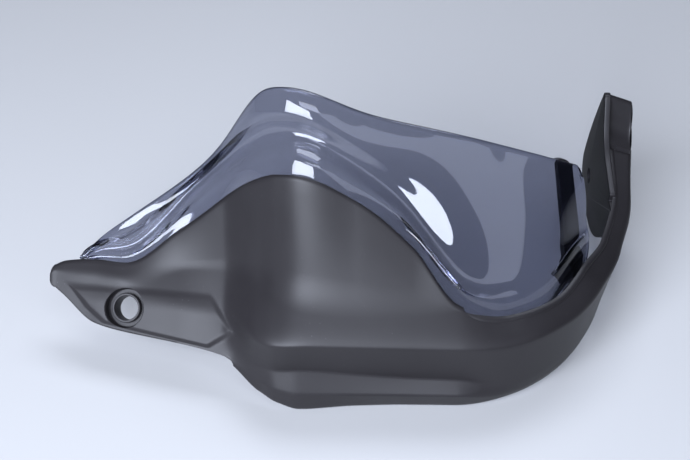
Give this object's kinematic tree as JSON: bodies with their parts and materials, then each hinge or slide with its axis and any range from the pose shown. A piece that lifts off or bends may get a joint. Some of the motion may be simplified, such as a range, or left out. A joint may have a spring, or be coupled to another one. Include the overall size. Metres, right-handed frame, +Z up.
{
  "type": "motorcycle hand guard",
  "caption": "Left-hand guard with a moulded body, inner mounting tab, stepped beam and arm to the bar end, and a smoked wind screen.",
  "frame": {"origin": "middle of the inner mounting bore, on the floor of its counterbore", "axes": "+X outboard along the guard, -Y to the front, +Z up"},
  "size_m": [0.28, 0.163, 0.1267],
  "materials": {
    "body_plastic": "fine moulded grain",
    "screen_plastic": "smoked, clear and glossy",
    "fixing_steel": "zinc plated"
  },
  "bodies": {
    "root": {"guard_body": "body_plastic", "wind_screen": "screen_plastic", "screen_screws": "fixing_steel", "screen_washers": "fixing_steel"}
  },
  "joints": []
}
